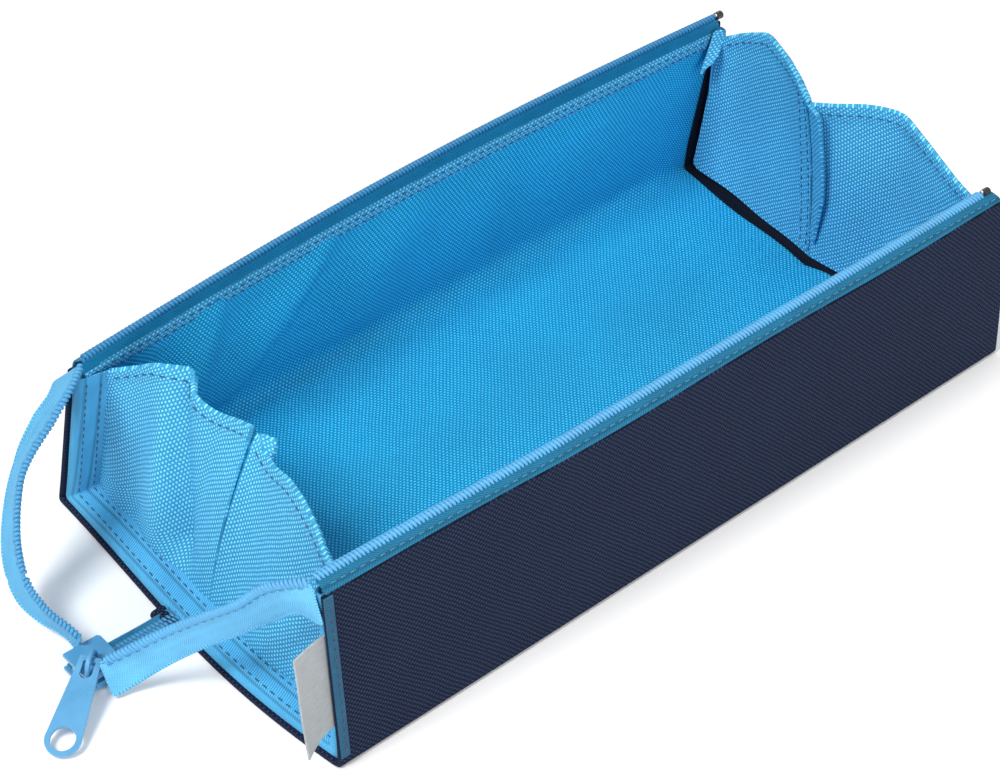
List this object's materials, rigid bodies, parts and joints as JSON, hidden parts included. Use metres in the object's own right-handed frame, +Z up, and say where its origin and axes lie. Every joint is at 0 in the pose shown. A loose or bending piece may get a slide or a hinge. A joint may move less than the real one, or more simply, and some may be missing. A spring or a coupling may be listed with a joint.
{
  "type": "pencil case",
  "caption": "Long soft pencil case that opens into a tray: two stiffened L-shaped halves fold along the bottom, with pleated end gussets and a zip that runs past one end.",
  "frame": {"origin": "on the table, under the middle of the centre fold of the bottom", "axes": "+X along the case away from the loose zip tail, +Y towards the folding back half, +Z up"},
  "size_m": [0.2448, 0.1, 0.0489],
  "materials": {
    "navy_cloth": "woven, matt",
    "stiffener": "plain sheet",
    "lining_cloth": "oxford weave, slight sheen",
    "gusset_cloth": "oxford weave, slight sheen",
    "binding": "ribbed tape",
    "zip_tape": "herringbone tape",
    "zip_coil": "moulded coil",
    "top_stop": "satin",
    "label": "smooth woven label, blank",
    "slider_paint": "satin paint"
  },
  "bodies": {
    "front_half": {"front_wall_shell": "navy_cloth", "front_wall_board": "stiffener", "front_wall_lining": "lining_cloth", "front_bottom_shell": "navy_cloth", "front_bottom_board": "stiffener", "front_bottom_lining": "lining_cloth", "fold_strip": "navy_cloth", "front_zip_tape": "zip_tape", "front_zip_coil": "zip_coil", "front_top_stop": "top_stop", "near_front_bottom_binding": "binding", "near_front_wall_binding": "binding", "far_front_bottom_binding": "binding", "far_front_wall_binding": "binding", "near_front_end_panel": "gusset_cloth", "far_front_end_panel": "gusset_cloth", "side_label": "label", "care_label": "label", "tail_anchor": "navy_cloth", "tail_front_half": "zip_tape", "tail_back_half": "zip_tape", "tail_chain": "zip_coil", "tail_front_tape": "zip_tape", "tail_front_coil": "zip_coil", "loop_tape": "zip_tape", "loop_coil": "zip_coil"},
    "back_half": {"back_wall_shell": "navy_cloth", "back_wall_board": "stiffener", "back_wall_lining": "lining_cloth", "back_bottom_shell": "navy_cloth", "back_bottom_board": "stiffener", "back_bottom_lining": "lining_cloth", "back_zip_tape": "zip_tape", "back_zip_coil": "zip_coil", "back_top_stop": "top_stop", "near_back_bottom_binding": "binding", "near_back_wall_binding": "binding", "far_back_bottom_binding": "binding", "far_back_wall_binding": "binding", "near_back_end_panel": "gusset_cloth", "far_back_end_panel": "gusset_cloth"},
    "near_front_flap": {"near_front_flap": "gusset_cloth", "near_ridge_tab": "gusset_cloth"},
    "near_back_flap": {"near_back_flap": "gusset_cloth"},
    "far_front_flap": {"far_front_flap": "gusset_cloth", "far_ridge_tab": "gusset_cloth"},
    "far_back_flap": {"far_back_flap": "gusset_cloth"},
    "slider": {"slider_body": "slider_paint", "slider_bail": "slider_paint"},
    "pull": {"pull_tab": "slider_paint"}
  },
  "joints": [
    {"name": "fold", "type": "hinge", "parent": "front_half", "child": "back_half", "pos_m": [0, 0, 0], "axis": [1, 0, 0], "range_deg": [0, 73]},
    {"name": "near_front_gusset", "type": "hinge", "parent": "front_half", "child": "near_front_flap", "pos_m": [-0.0922, 0, 0], "axis": [0, 0.6811, -0.7322], "range_deg": [0, 92]},
    {"name": "far_front_gusset", "type": "hinge", "parent": "front_half", "child": "far_front_flap", "pos_m": [0.0922, 0, 0], "axis": [0, -0.6811, 0.7322], "range_deg": [0, 92]},
    {"name": "near_back_gusset", "type": "hinge", "parent": "back_half", "child": "near_back_flap", "pos_m": [-0.0922, 0, 0], "axis": [0, 0.6811, 0.7322], "range_deg": [0, 92]},
    {"name": "far_back_gusset", "type": "hinge", "parent": "back_half", "child": "far_back_flap", "pos_m": [0.0922, 0, 0], "axis": [0, -0.6811, -0.7322], "range_deg": [0, 92]},
    {"name": "slider_run", "type": "slide", "parent": "front_half", "child": "slider", "axis": [1, 0, 0], "range_m": [0, 0.012], "deforming": ["tail_chain", "tail_front_tape", "tail_front_coil", "loop_tape", "loop_coil"]},
    {"name": "pull_swing", "type": "hinge", "parent": "slider", "child": "pull", "pos_m": [-0.1264, 0.0005, 0.00715], "axis": [-0.5807, 0.8141, 0], "range_deg": [0, 100]}
  ],
  "couplings": [
    {"joint": "near_front_gusset", "follows": "fold", "ratio": 1.25},
    {"joint": "far_front_gusset", "follows": "fold", "ratio": 1.25},
    {"joint": "near_back_gusset", "follows": "fold", "ratio": 1.25},
    {"joint": "far_back_gusset", "follows": "fold", "ratio": 1.25}
  ]
}
